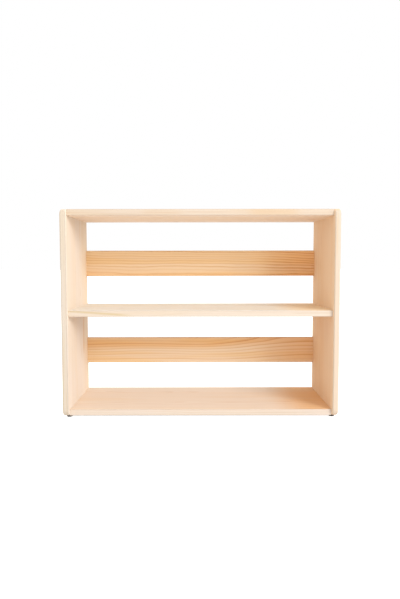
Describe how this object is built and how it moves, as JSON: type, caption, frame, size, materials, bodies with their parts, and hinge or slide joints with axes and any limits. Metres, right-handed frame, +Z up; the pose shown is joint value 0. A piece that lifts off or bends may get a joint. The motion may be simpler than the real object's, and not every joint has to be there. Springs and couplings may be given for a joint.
{
  "type": "montessori bookshelf",
  "caption": "Low open-backed children's bookshelf in solid pine: side panels with rounded corners, boards between them, slats across the back and small dark feet.",
  "frame": {"origin": "on the floor, under the middle of the case", "axes": "+X along the width to the viewer's right, +Y from front to back, +Z up"},
  "size_m": [0.8, 0.3, 0.604],
  "materials": {
    "pale_pine": "sanded and clear-oiled pale pine, satin",
    "amber_pine": "sanded and clear-oiled pine of a deeper amber, satin",
    "foot_rubber": "matt black-brown rubber",
    "screw_steel": "bright zinc-plated steel",
    "beech_dowel": "plain beech",
    "beech_plug": "sanded beech, flush with the panel"
  },
  "bodies": {
    "root": {"left_side_panel": "pale_pine", "right_side_panel": "pale_pine", "top_board": "pale_pine", "middle_shelf": "pale_pine", "bottom_board": "pale_pine", "upper_back_slat": "amber_pine", "lower_back_slat": "amber_pine", "front_left_foot": "foot_rubber", "front_right_foot": "foot_rubber", "back_left_foot": "foot_rubber", "back_right_foot": "foot_rubber", "top_board_screws": "screw_steel", "middle_shelf_screws": "screw_steel", "bottom_board_screws": "screw_steel", "upper_slat_screws": "screw_steel", "lower_slat_screws": "screw_steel", "top_board_dowels": "beech_dowel", "middle_shelf_dowels": "beech_dowel", "bottom_board_dowels": "beech_dowel", "upper_slat_dowels": "beech_dowel", "lower_slat_dowels": "beech_dowel", "left_panel_plugs": "beech_plug", "right_panel_plugs": "beech_plug"}
  },
  "joints": []
}
